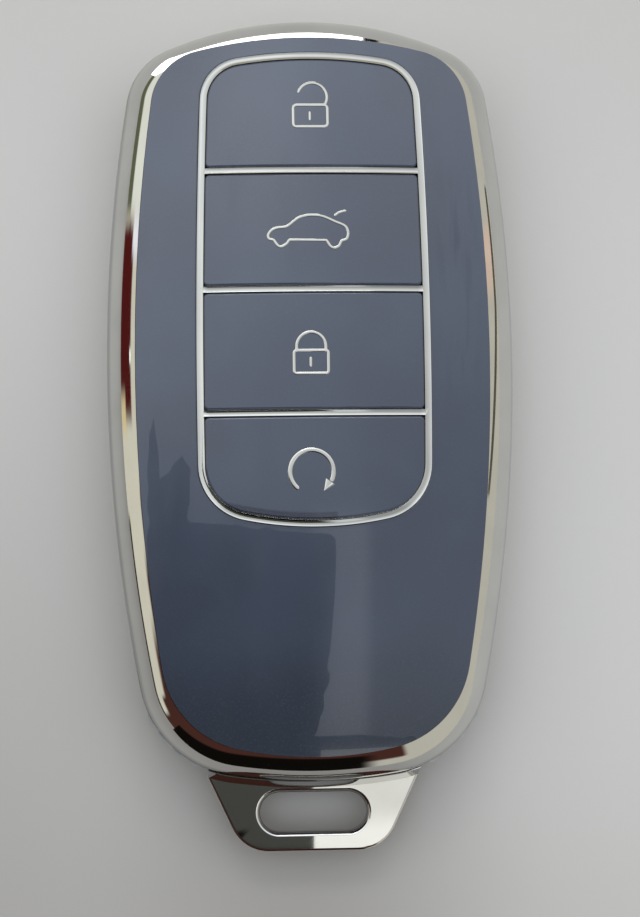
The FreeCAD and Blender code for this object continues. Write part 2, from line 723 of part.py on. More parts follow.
def key(name, parts):
    """A blue key with rounded edges, a flange that holds it below the panel and a presser below that."""
    low, high = key_ends(name)
    deep = f"{high} - {low}"
    slab = box(f"{name}_slab", "-grid_width", low, "0", "2 * grid_width", deep, "2 * dome_height")
    ends = (size(low), size(high))

    def radius_of_corner(edge):
        room = edge.BoundBox
        upright = room.YLength < TOUCH and room.XLength < TOUCH
        return size("key_corner") if upright and min(abs(room.YMin - end) for end in ends) < TOUCH else 0

    stretch = common(f"{name}_stretch", parts["column"], slab)
    column = rounded(f"{name}_column", stretch, radius_of_corner)
    flange = common(f"{name}_flange", parts["flange"], slab)
    post = cylinder(f"{name}_post", "0", key_middle(name), "0", "presser_radius", "dome_height")
    presser = common(f"{name}_presser", post, parts["presser"])
    whole = fuse(f"{name}_blank", column, flange, presser)
    doc.recompute()
    face = max(whole.Shape.Faces, key=lambda face: face.CenterOfMass.z)

    def radius_of_edge(edge):
        return size("key_round") if any(edge.isSame(other) for other in face.Edges) else 0

    return rounded(f"{name}_key", whole, radius_of_edge)


def keys():
    """The four keys, cut from the same layers."""
    high = "dome_height + 2 * bead_rise"
    column = outline_prism("key_columns", GRID, KEY_INSET, "0", high)
    flange = outline_prism("key_flanges", GRID, "-flange_reach", "0", high)
    parts = {
        "column": common("column_layer", column, shell("key_layer", key_dome, flange_under_dome)),
        "flange": common("flange_layer", flange, shell("flange_shell", flange_dome, flange_under_dome)),
        "presser": shell("presser_layer", flange_dome, presser_dome),
    }
    return [key(name, parts) for name in KEYS]


def key_carrier():
    """Tray on the back of the front panel that keeps the keys, with a hole for each presser."""
    high = "dome_height"
    wall = "flange_reach + flange_fit"
    outer = outline_prism("carrier_outer", GRID, f"-({wall} + carrier_wall)", "0", high)
    inner = outline_prism("carrier_inner", GRID, f"-({wall})", "0", high)
    blank = common("carrier_blank", outer, shell("carrier_layer", panel_seat_dome, floor_under_dome))
    room = cut("carrier_room", inner, floor_dome)
    holes = []
    for name in KEYS:
        radius = "presser_radius + presser_fit"
        holes.append(cylinder(f"{name}_hole", "0", key_middle(name), "0", radius, high))
    return cut("key_carrier", blank, fuse("carrier_hollows", room, *holes))


def return_rings():
    """Soft rings between the keys and the carrier's floor that push the keys back."""
    layer = shell("ring_layer", ring_dome, ring_under_dome)
    bore = "presser_radius + presser_fit"
    rim = f"{bore} + ring_wall"
    rings = []
    for name in KEYS:
        inside = cylinder(f"{name}_ring_bore", "0", key_middle(name), "0", bore, "dome_height")
        outside = cylinder(f"{name}_ring_rim", "0", key_middle(name), "0", rim, "dome_height")
        tube = cut(f"{name}_ring_tube", outside, inside)
        rings.append(common(f"{name}_return_ring", tube, layer))
    return rings


def check(pieces):
    """Stops on any failed object or broken solid."""
    doc.recompute()
    for thing in doc.Objects:
        if {"Invalid", "Error"} & set(thing.State):
            raise RuntimeError(f"{thing.Label} failed: {thing.State}")
    for piece in pieces:
        solids = piece.Shape.Solids
        if piece.Shape.isNull() or not piece.Shape.isValid() or len(solids) != 1:
            raise RuntimeError(f"{piece.Label} is not one sound solid")


whole = body()
pieces = [
    rear_tray(),
    rear_panel(),
    keyring_tab(),
    front_frame(),
    front_panel(),
    key_grid(),
    *keys(),
    key_carrier(),
    *return_rings(),
]
check(pieces)
os.makedirs("parts", exist_ok=True)
for piece in pieces:
    piece.Shape.exportStep(f"parts/{piece.Label}.step")
    room = piece.Shape.optimalBoundingBox(False)
    print(f"{piece.Label}: {piece.Shape.Volume:.1f} mm3, z {room.ZMin:.2f} to {room.ZMax:.2f}")
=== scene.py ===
"""Key fob cover with a chrome rim, a domed blue face and four keys, dressed around its solid model."""
import math

import bmesh
import bpy
from bpy.props import FloatProperty, FloatVectorProperty, PointerProperty
from mathutils import Matrix, Vector


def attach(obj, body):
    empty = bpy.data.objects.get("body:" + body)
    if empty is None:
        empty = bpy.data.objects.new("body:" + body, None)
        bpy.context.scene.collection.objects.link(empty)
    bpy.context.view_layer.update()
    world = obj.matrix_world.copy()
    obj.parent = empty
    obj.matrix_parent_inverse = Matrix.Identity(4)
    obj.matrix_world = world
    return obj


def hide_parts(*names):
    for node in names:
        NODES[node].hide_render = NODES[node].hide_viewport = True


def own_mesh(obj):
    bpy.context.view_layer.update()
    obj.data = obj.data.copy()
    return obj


bl_info = {
    "name": "Key fob cover",
    "version": (1, 0, 0),
    "blender": (4, 5, 0),
    "location": "3D View > Sidebar > Fob cover",
    "description": "Finishes, bead, key signs and setting of a key fob cover",
    "category": "Object",
}

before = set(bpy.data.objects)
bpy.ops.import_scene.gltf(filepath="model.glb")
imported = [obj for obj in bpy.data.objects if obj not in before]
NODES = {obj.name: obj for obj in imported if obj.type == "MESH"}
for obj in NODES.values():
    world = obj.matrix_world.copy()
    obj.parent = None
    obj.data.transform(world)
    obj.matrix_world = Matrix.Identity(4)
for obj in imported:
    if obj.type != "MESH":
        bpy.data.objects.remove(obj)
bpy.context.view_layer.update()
MM = 0.001
KEYS = ("unlock", "trunk", "lock", "start")


def length(name, description, default, **more):
    """A length in metres that the panel shows."""
    return FloatProperty(
        name=name, description=description, default=default, unit="LENGTH", precision=5, **more
    )


def share(name, description, default):
    """A number between 0 and 1 that the panel shows."""
    return FloatProperty(name=name, description=description, default=default, min=0, max=1, subtype="FACTOR")


def colour(name, description, default):
    """A colour that the panel shows."""
    return FloatVectorProperty(
        name=name, description=description, default=default, size=3, min=0, max=4, subtype="COLOR"
    )


class FaceSizes(bpy.types.PropertyGroup):
    """Crowned surface of the front panel and the keys."""

    crest: length("Crest", "Highest point of the front panel above the back", 16.2 * MM)
    cross_radius: length("Cross radius", "Crown of the face from side to side", 80 * MM)
    long_radius: length("Long radius", "Crown of the face from end to end", 280 * MM)
    key_rise: length("Key rise", "Keys above the front panel's surface", 0.25 * MM)


class BeadSizes(bpy.types.PropertyGroup):
    """Bead around and between the keys."""

    width: length("Width", "Bead around the keys", 0.72 * MM)
    bar_width: length("Bar width", "Bars between the keys", 0.62 * MM)
    rise: length("Rise", "Top of the bead above the front panel", 0.35 * MM)
    lift: length("Lift", "Underside of the bead's head above the front panel", 0.08 * MM)
    dish: length("Dish", "Hollow along the middle of the bead's top", 0.06 * MM)
    stem_width: length("Stem width", "Stem that holds the bead", 0.3 * MM)
    stem_depth: length("Stem depth", "Stem below the front panel's surface", 1.15 * MM)
    roundness: share("Roundness", "1 for an oval head, towards 0 for a square one", 0.08)


class SignSizes(bpy.types.PropertyGroup):
    """Bright signs on the keys."""

    rise: length("Rise", "Sign above the key", 0.05 * MM)
    sink: length("Sink", "Sign below the key's surface", 0.12 * MM)
    roundness: share("Roundness", "1 for an oval stroke, towards 0 for a square one", 0.6)


class Finishes(bpy.types.PropertyGroup):
    """Colours of the finishes."""

    chrome: colour("Chrome", "Bright plating", (0.65, 0.645, 0.62))
    bright: colour("Bead and signs", "Satin bright plating of the bead and the signs", (0.80, 0.78, 0.695))
    blue: colour("Blue", "Lacquer of the face and the keys", (0.050, 0.064, 0.098))
    blue_deep: colour("Deep blue", "Darker clouds in the lacquer", (0.042, 0.052, 0.078))
    rubber: colour("Rubber", "Soft inner moulding", (0.035, 0.036, 0.04))


class Setting(bpy.types.PropertyGroup):
    """Table, room and window."""

    table: colour("Table", "Far side of the table", (0.64, 0.625, 0.592))
    # Painted shade of the table on its near left side
    table_shaded: colour("Table, near", "Near left side of the table", (0.395, 0.378, 0.35))
    overhead: colour("Overhead", "Light from above", (1.19, 1.27, 1.40))
    walls: colour("Walls", "Light from the sides of the room", (0.70, 0.67, 0.58))
    shade: colour("Shade", "Dark side of the room, next to the tab", (0.035, 0.012, 0.012))
    dark: colour("Dark shape", "Shape overhead that the lower half of the face mirrors", (0.075, 0.078, 0.07))
    gleam: colour("Gleam", "Small light over the right half of the tab", (1.05, 1.06, 1.02))
    lens: FloatProperty(name="Lens", description="Focal length of the camera", default=96.38, unit="CAMERA")


GROUPS = {
    "fob_face": FaceSizes,
    "fob_bead": BeadSizes,
    "fob_signs": SignSizes,
    "fob_finishes": Finishes,
    "fob_setting": Setting,
}


class Value:
    """A socket of a node tree. Sums on it add Math nodes."""

    def __init__(self, nodes, socket):
        self.nodes = nodes
        self.socket = socket

    def maths(self, operation, *values, clamp=False):
        settings = {"operation": operation, "use_clamp": clamp}
        return self.nodes.make("ShaderNodeMath", settings, dict(enumerate(values)))[0]

    def __add__(self, other):
        return self.maths("ADD", self, other)

    def __radd__(self, other):
        return self.maths("ADD", other, self)

    def __sub__(self, other):
        return self.maths("SUBTRACT", self, other)

    def __rsub__(self, other):
        return self.maths("SUBTRACT", other, self)

    def __mul__(self, other):
        return self.maths("MULTIPLY", self, other)

    def __rmul__(self, other):
        return self.maths("MULTIPLY", other, self)

    def __truediv__(self, other):
        return self.maths("DIVIDE", self, other)

    def __pow__(self, power):
        return self.maths("POWER", self, power)

    def __abs__(self):
        return self.maths("ABSOLUTE", self)

    def root(self):
        return self.maths("SQRT", self)

    def sign(self):
        return self.maths("SIGN", self)

    def within(self, low, high):
        """No less than low and no more than high."""
        return self.maths("MINIMUM", self.maths("MAXIMUM", self, low), high)

    def ramp(self, low, high):
        """0 at low and below, 1 at high and above, smooth between."""
        settings = {"interpolation_type": "SMOOTHSTEP"}
        return self.nodes.make("ShaderNodeMapRange", settings, {0: self, 1: low, 2: high})[0]


class Made:
    """A node whose outputs are read by name or number."""

    def __init__(self, nodes, node):
        self.nodes = nodes
        self.node = node

    def __getitem__(self, name):
        return Value(self.nodes, self.node.outputs[name])


class Nodes:
    """Adds nodes to a tree."""

    def __init__(self, tree):
        self.tree = tree

    def make(self, kind, settings=None, sockets=None):
        """A node of a kind, with its settings first and then the values or links of its sockets."""
        node = self.tree.nodes.new(kind)
        for name, setting in (settings or {}).items():
            setattr(node, name, setting)
        for name, value in (sockets or {}).items():
            for each in value if isinstance(value, list) else [value]:
                if isinstance(each, Value):
                    self.tree.links.new(each.socket, node.inputs[name])
                else:
                    node.inputs[name].default_value = each
        return Made(self, node)

    def mix(self, factor, first, second):
        """One colour over another."""
        settings = {"data_type": "RGBA", "clamp_factor": True}
        node = self.make("ShaderNodeMix", settings, {"Factor": factor})
        for place, value in ((6, first), (7, second)):
            if isinstance(value, Value):
                self.tree.links.new(value.socket, node.node.inputs[place])
            else:
                node.node.inputs[place].default_value = (*value, 1)
        return node[2]

    def parts(self, vector):
        """X, Y and Z of a vector."""
        node = self.make("ShaderNodeSeparateXYZ", None, {0: vector})
        return node[0], node[1], node[2]

    def noise(self, place, scale, detail):
        """Cloudy values around 0.5 with features of about 1 / scale metres."""
        sockets = {"Vector": place, "Scale": scale, "Detail": detail}
        return self.make("ShaderNodeTexNoise", None, sockets)[0]

    def stretched(self, place, along):
        """Coordinates whose features are drawn out along Y."""
        return self.make("ShaderNodeMapping", None, {"Vector": place, "Scale": (1, along, 1)})[0]

    def here(self):
        """X, Y and Z of each point of a geometry."""
        return self.parts(self.make("GeometryNodeInputPosition")[0])

    def stored(self, name):
        """Numbers that the points of a geometry carry."""
        settings = {"data_type": "FLOAT"}
        return self.make("GeometryNodeInputNamedAttribute", settings, {"Name": name})["Attribute"]

    def moved(self, geometry, **places):
        """A geometry whose points go to a Position, or are shifted by an Offset."""
        return self.make("GeometryNodeSetPosition", None, {"Geometry": geometry, **places})["Geometry"]


# Finishes


def shader(name):
    """A new material with its node maker, its principled shader and the object's coordinates."""
    material = bpy.data.materials.new(name)
    material.use_nodes = True
    material.node_tree.nodes.clear()
    nodes = Nodes(material.node_tree)
    surface = nodes.make("ShaderNodeBsdfPrincipled")
    nodes.make("ShaderNodeOutputMaterial", None, {"Surface": surface["BSDF"]})
    place = nodes.make("ShaderNodeTexCoord")["Object"]
    return material, nodes, surface.node, place


def connect(nodes, surface, **values):
    """Sets or links sockets of the principled shader; an underscore stands for a space."""
    for name, value in values.items():
        socket = surface.inputs[name.replace("_", " ")]
        if isinstance(value, Value):
            nodes.tree.links.new(value.socket, socket)
        else:
            socket.default_value = value


def bump(nodes, height, strength, distance):
    """A normal that follows a height."""
    sockets = {"Strength": strength, "Distance": distance, "Height": height}
    return nodes.make("ShaderNodeBump", None, sockets)["Normal"]


def between(value, low, high, soft):
    """1 within a stretch and 0 outside it, with soft ends."""
    return value.ramp(low - soft, low + soft) * (1 - value.ramp(high - soft, high + soft))


def walls(nodes):
    """1 on steep faces and 0 on the others."""
    _, _, up = nodes.parts(nodes.make("ShaderNodeNewGeometry")["Normal"])
    return 1 - abs(up).ramp(0.22, 0.42)


def rim_zones(nodes, place):
    """Satin share and shade share of the front frame and the tab: painted shade darkens their steep edges,
    standing for the shaded table beside them that they mirror.
    """
    return 0.01, 0.55 * walls(nodes)


def tray_zones(nodes, place):
    """Satin share and shade share of the rear tray: painted shade on its walls and along its upper edge in
    the parting gap, and a satin, darker grip.
    """
    _, y, z = nodes.parts(place)
    grip = y.ramp(-24 * MM, -29 * MM)
    # Painted shade: the tray's upper edge, in the parting gap under the frame, is darkened.
    edge = z.ramp((PARTING - 0.07) * MM, (PARTING - 0.02) * MM)
    return 0.3 * grip, 0.55 * walls(nodes) + 0.2 * grip + 0.9 * edge


def bead_zones(nodes, place):
    """Satin share and shade share of the bead and the signs: painted shade makes them darker on the bars,
    towards the unlock key and towards the left.
    """
    x, y, _ = nodes.parts(place)
    bar_shade = 0.3 * y.ramp(-11.5 * MM, -12.5 * MM)
    for middle in BARS[1:]:
        bar_shade = bar_shade + 0.2 * between(y, (middle - 0.5) * MM, (middle + 0.5) * MM, 0.1 * MM)
    bar_shade = bar_shade * (x * x).ramp(1.42e-4, 1.28e-4)
    return 0.005, 0.42 * y.ramp(-16 * MM, 34 * MM) + 0.08 * x.ramp(12 * MM, -12 * MM) + bar_shade


RIM_POLISH, BEAD_POLISH = 0.03, 0.035
# Colour towards which plating is darkened: painted shade on steep walls, in the parting gap and on the bead
# and signs, and a darker grip zone on the tray
SHADE_TINT = (0.06, 0.06, 0.06)


def plating_finish(name, tint, polish, zones):
    """Bright plating on moulded plastic: clouds in its polish, shallow waves, satin zones and zones darkened
    by painted shade.
    """
    material, nodes, surface, place = shader(name)
    clouds = nodes.noise(place, 180, 3)
    waves = nodes.noise(place, 90, 1)
    haze = nodes.noise(place, 900, 2)
    worn = [0.93 * part for part in tint]
    satin, shade_share = zones(nodes, place)
    shade = nodes.mix(shade_share, nodes.mix(clouds.ramp(0.35, 0.75), tint, worn), SHADE_TINT)
    connect(
        nodes,
        surface,
        Base_Color=shade,
        Metallic=1.0,
        Roughness=polish + 0.03 * clouds.ramp(0.45, 0.8) + 0.02 * haze + satin,
        Normal=bump(nodes, waves, 0.03, 0.2 * MM),
    )
    return material


# Painted reflection: dark colour along the lower edge of the start key, standing for the dark shape overhead
# that it would mirror
KEY_EDGE_REFLECTION = (0.008, 0.013, 0.03)


def lacquer_finish(name, blue, deep):
    """High-gloss lacquer: a fine pearl grain under a clear coat with slight waves and wiped smears, with
    painted shade towards the lower end of the face and a painted dark reflection along the start key's lower
    edge.
    """
    material, nodes, surface, place = shader(name)
    clouds = nodes.noise(place, 70, 2)
    grain = nodes.noise(place, 5200, 1)
    waves = nodes.noise(place, 140, 1)
    wiped = nodes.noise(nodes.stretched(place, 0.25), 260, 3)
    x, y, _ = nodes.parts(place)
    handled = between(x, 14 * MM, 18 * MM, 1.5 * MM) * between(y, 0, 22 * MM, 5 * MM)
    streaks = nodes.noise(nodes.stretched(place, 0.1), 1400, 2).ramp(0.45, 0.7) * handled
    # Painted reflection: a dark band just above the bead along the start key's lower edge.
    foot = OUTER_BEAD["foot"] * MM
    above = y - (OUTER_BEAD["bottom"] * MM + foot) + (foot * foot - x * x).root() - 0.3 * MM
    edge = between(above, -0.4 * MM, 0.85 * MM, 0.12 * MM)
    edge = edge * x.ramp(-10.8 * MM, -8.6 * MM) * x.ramp(2.5 * MM, 2.1 * MM)
    pearl = [1.18 * part for part in blue]
    low = [part * kept for part, kept in zip(blue, (0.62, 0.6, 0.52))]
    ground = nodes.mix(clouds.ramp(0.3, 0.7), blue, deep)
    # Painted shade: the face darkens towards its lower end.
    ground = nodes.mix(0.85 * y.ramp(-22 * MM, -38 * MM), ground, low)
    ground = nodes.mix(0.85 * edge, ground, KEY_EDGE_REFLECTION)
    connect(
        nodes,
        surface,
        Base_Color=nodes.mix(0.3 * grain.ramp(0.5, 0.75), ground, pearl),
        Roughness=0.16 + 0.1 * wiped.ramp(0.5, 0.8),
        Coat_Weight=0.9 - 0.15 * wiped.ramp(0.55, 0.85) - 0.4 * streaks,
        Coat_Roughness=0.015,
        Normal=bump(nodes, 0.01 * MM * waves, 1.0, 1.0),
    )
    return material


def rubber_finish(name, tint):
    """Matt soft moulding with a fine spark-eroded grain."""
    material, nodes, surface, place = shader(name)
    grain = nodes.noise(place, 3800, 3)
    dust = nodes.noise(place, 300, 4)
    pale = [1.7 * part for part in tint]
    connect(
        nodes,
        surface,
        Base_Color=nodes.mix(dust.ramp(0.5, 0.8), tint, pale),
        Roughness=0.62 + 0.2 * dust,
        Specular_IOR_Level=0.35,
        Normal=bump(nodes, grain, 0.3, 0.05 * MM),
    )
    return material


# Colour of the table's painted shade and of the tab's painted shadow
TABLE_SHADE = (0.12, 0.10, 0.075)
TABLE_GREY = (0.3, 0.3, 0.3)


def table_finish(name, far, near):
    """Pale table top with painted shade: darker towards its near left side and its far end, and a painted
    shadow beyond the tab.
    """
    material, nodes, surface, place = shader(name)
    x, y, _ = nodes.parts(place)
    cloth = nodes.noise(place, 700, 3)
    # Painted shade: the table darkens towards its near left side.
    ground = nodes.mix((-0.6 * x - 0.8 * y).ramp(-10 * MM, 85 * MM), far, near)
    # Painted shade towards the far end, and a soft painted shadow of the tab beyond it.
    beyond_tab = y + 56 * MM
    aside = (x * x + beyond_tab * beyond_tab).root()
    shaded = 0.10 * y.ramp(10 * MM, 55 * MM) + 0.3 * (1 - aside.ramp(0.0, 30 * MM))
    ground = nodes.mix(shaded, ground, TABLE_SHADE)
    connect(
        nodes,
        surface,
        Base_Color=nodes.mix(0.04 * cloth, ground, TABLE_GREY),
        Roughness=0.6 + 0.1 * cloth,
        Specular_IOR_Level=0.0,
    )
    return material


def finish(name, make, *values):
    """A finish by name, made the first time that it is asked for."""
    return bpy.data.materials.get(name) or make(name, *values)


def bright_finish(scene):
    """Finish of the bead and the signs."""
    return finish("bright_plating", plating_finish, scene.fob_finishes.bright, BEAD_POLISH, bead_zones)


def dress(material, *names):
    """Puts a finish on nodes of the solid model."""
    for name in names:
        NODES[name].data.materials.clear()
        NODES[name].data.materials.append(material)


# Lines in plan, in millimetres from the middle of the cover


def arc(centre, radius, start, end, steps=None):
    """Points of an arc between two angles in degrees."""
    steps = steps or max(4, round(abs(end - start) / 6))
    points = []
    for step in range(steps + 1):
        angle = math.radians(start + (end - start) * step / steps)
        points.append((centre[0] + radius * math.cos(angle), centre[1] + radius * math.sin(angle)))
    return points


def rounded_box(left, right, low, high, corner):
    """Closed line of a box with round corners."""
    line = []
    inner = (left + corner, right - corner, low + corner, high - corner)
    corners = ((1, 3, 0), (0, 3, 90), (0, 2, 180), (1, 2, 270))
    for across, up, start in corners:
        line += arc((inner[across], inner[up]), corner, start, start + 90, 6)
    return line


def smooth(points, closed, steps=5):
    """A line through points that keeps no corners."""
    count = len(points)

    def at(place):
        return Vector(points[place % count if closed else min(max(place, 0), count - 1)])

    line = []
    for place in range(count if closed else count - 1):
        a, b, c, d = (at(place + step) for step in range(-1, 3))
        bend = 2 * a - 5 * b + 4 * c - d
        twist = 3 * b - a - 3 * c + d
        for step in range(steps):
            t = step / steps
            line.append(tuple(0.5 * (2 * b + (c - a) * t + bend * t**2 + twist * t**3)))
    return line if closed else line + [tuple(points[-1])]


def even(line, half_width):
    """A line whose width stays the same."""
    return [(*point, half_width) for point in line]


def stroke(line, half_width):
    """An open line of one width with round ends."""
    points = [Vector(point) for point in line]
    turns = [math.radians(turn) for turn in (30, 55, 75, 87)]
    ends = []
    for tip, inner in ((points[0], points[1]), (points[-1], points[-2])):
        away = (tip - inner).normalized() * half_width
        ends.append([(*(tip + away * math.sin(turn)), half_width * math.cos(turn)) for turn in turns])
    return ends[0][::-1] + even(line, half_width) + ends[1]


# Outlines of two bowed sides and two bowed ends with round corners

OUTER_BEAD = {
    "half_width": 12.36,
    "widest": 1.86,
    "top": 37.26,
    "bottom": -13.92,
    "side": 700,
    "crown": 54,
    "crown_corner": 4.4,
    "foot": 38,
    "foot_corner": 5.75,
}
COVER = {
    "half_width": 22.55,
    "widest": 3.5,
    "top": 42.2,
    "bottom": -42.2,
    "side": 188,
    "crown": 42,
    "crown_corner": 7.6,
    "foot": 62,
    "foot_corner": 12,
}
PARTING = 8
RIM_ROUND = 6.2
SLOT = {"half_length": 3.8, "y": -46.03, "radius": 2.2, "bevel": 0.5, "top": 4.4}
BARS = (24.46, 11.44, -2.01)
BAR_OVERLAP = 0.05


def corner_centre(side_centre, side, end_centre, end, corner):
    """Middle of the arc that rounds the corner between a side and an end."""
    first, second = side - corner, end - corner
    apart = (end_centre - side_centre).length
    along = (first**2 - second**2 + apart**2) / (2 * apart)
    across = math.sqrt(first**2 - along**2)
    axis = (end_centre - side_centre) / apart
    turned = Vector((-axis.y, axis.x))
    found = [side_centre + axis * along + turned * across * way for way in (1, -1)]
    return max(found, key=lambda point: point.x)


def bowed_arcs(at):
    """Arcs of the right half of an outline from its foot to its crown: centre, radius and two angles."""
    side = Vector((at["half_width"] - at["side"], at["widest"]))
    foot = Vector((0, at["bottom"] + at["foot"]))
    crown = Vector((0, at["top"] - at["crown"]))
    low = corner_centre(side, at["side"], foot, at["foot"], at["foot_corner"])
    high = corner_centre(side, at["side"], crown, at["crown"], at["crown_corner"])

    def turn(centre, corner):
        return math.degrees(math.atan2(*(corner - centre).yx))

    return (
        (foot, at["foot"], -90, turn(foot, low)),
        (low, at["foot_corner"], turn(foot, low), turn(side, low)),
        (side, at["side"], turn(side, low), turn(side, high)),
        (high, at["crown_corner"], turn(side, high), turn(crown, high)),
        (crown, at["crown"], turn(crown, high), 90),
    )


def bowed_line(at):
    """Closed line of an outline."""
    half = []
    for (centre, radius, start, end), steps in zip(bowed_arcs(at), (14, 14, 40, 14, 14)):
        half += arc(centre, radius, start, end, steps)[:-1]
    half.append((0, at["top"]))
    return half + [(-x, y) for x, y in half[-2:0:-1]]


COVER_ARCS = bowed_arcs(COVER)


def rim_normal(place):
    """Direction that the rim's round faces at a place, or None away from it."""
    for centre, radius, start, end in COVER_ARCS:
        out = Vector((abs(place.x) / MM, place.y / MM)) - centre
        if start <= math.degrees(math.atan2(out.y, out.x)) <= end:
            lean = min(1 - (radius - out.length) / RIM_ROUND, 1)
            if lean > 0.1 and place.z > PARTING * MM:
                out = out.normalized() * lean
                return Vector((math.copysign(out.x, place.x), out.y, math.sqrt(1 - lean * lean)))
    return None


def bevel_normal(place):
    """Direction that the slot's bevel faces at a place if it is seen as a round, or None away from it."""
    at = SLOT
    reach = at["half_length"]
    middle = Vector((min(max(place.x / MM, -reach), reach), at["y"]))
    inward = middle - place.xy / MM
    up = (place.z / MM - at["top"]) / at["bevel"] + 1
    if up < -0.05 or abs(inward.length - at["radius"] - at["bevel"] * up) > 0.06:
        return None
    turn = math.radians(90 * min(max(up, 0), 1))
    inward = inward.normalized() * math.cos(turn)
    return Vector((inward.x, inward.y, math.sin(turn)))


def bar(y, short):
    """Line of a bar between two keys, ending short of the outer bead's middle line."""
    at = OUTER_BEAD
    x = at["half_width"] - at["side"] + math.sqrt(at["side"] ** 2 - (y - at["widest"]) ** 2) - short
    return [(x * step / 20, y) for step in range(-20, 21)]


CAR = (
    (-4.87, 17.23), (-4.67, 17.65), (-4.29, 17.96), (-3.80, 18.11), (-3.18, 18.16), (-2.69, 18.33),
    (-2.06, 18.82), (-1.51, 19.20), (-0.81, 19.42), (-0.05, 19.48), (0.86, 19.40), (1.61, 19.15),
    (2.44, 18.76), (3.12, 18.49), (3.58, 18.20), (3.80, 17.75), (3.82, 17.26), (3.62, 16.84),
    (3.17, 16.66), (3.03, 16.52), (2.78, 16.07), (2.32, 15.88), (1.91, 16.04), (1.60, 16.49),
    (1.43, 16.72), (-2.51, 16.77), (-2.65, 16.65), (-2.92, 16.31), (-3.45, 16.03), (-3.82, 16.17),
    (-4.19, 16.67), (-4.33, 16.79), (-4.71, 16.88),
)
SILL = (24, 25)


def car_line():
    """Closed line of a car seen from its side, with a straight sill."""
    body = CAR[SILL[1]:] + CAR[:SILL[0] + 1]
    return smooth(body, False)


def sign_lines(key):
    """Lines of a key's sign as points with half widths, and whether each is closed."""
    if key == "unlock":
        pen = 0.16
        return [
            (even(rounded_box(-1.935, 1.815, 29.28, 31.7, 0.38), pen), True),
            (stroke(arc((0.175, 32.58), 1.61, 157, -33), pen), False),
            (stroke([(-0.12, 30.83), (-0.12, 30.48), (-0.12, 30.1)], 0.145), False),
        ]
    if key == "trunk":
        pen = 0.158
        lid = ((2.455, 19.46), (2.875, 19.75), (3.545, 19.93))
        return [
            (even(car_line(), pen), True),
            (stroke(smooth(lid, False), pen * 0.9), False),
        ]
    if key == "lock":
        pen = 0.167
        arch = [(1.22, 4.715)] + arc((-0.36, 5.135), 1.58, 0, 180) + [(-1.94, 4.715)]
        return [
            (even(rounded_box(-2.23, 1.485, 2.23, 4.715, 0.3), pen), True),
            (stroke(arch, pen), False),
            (stroke([(-0.427, 3.867), (-0.427, 3.457), (-0.427, 3.067)], 0.155), False),
        ]
    head = [(1.54, -9.44, 0.6), (1.3, -9.785, 0.4), (1.06, -10.13, 0.2), (0.84, -10.445, 0.02)]
    return [
        (stroke(arc((-0.455, -8.37), 2.35, 227, -22), 0.243), False),
        (head, False),
    ]


def line_mesh(name, lines):
    """A mesh of edges along lines, in metres, with the half width of the line at each point."""
    points, edges, widths = [], [], []
    for line, closed in lines:
        first = len(points)
        points += [(x * MM, y * MM, 0) for x, y, _ in line]
        widths += [half * MM for _, _, half in line]
        edges += [(place, place + 1) for place in range(first, len(points) - 1)]
        if closed:
            edges.append((len(points) - 1, first))
    mesh = bpy.data.meshes.new(name)
    mesh.from_pydata(points, edges, [])
    mesh.attributes.new("half_width", "FLOAT", "POINT").data.foreach_set("value", widths)
    return mesh


def face_height(nodes, crest, cross_radius, long_radius):
    """Height of the crowned face above each point."""
    x, y, z = nodes.here()
    across = (cross_radius * cross_radius - x * x).root() - cross_radius + long_radius
    return crest - long_radius + (across * across - y * y).root() + z


# Points around a strip, and the angle in radians from which its edges stay sharp
RING_POINTS = 40
STRIP_CREASE = math.radians(40)


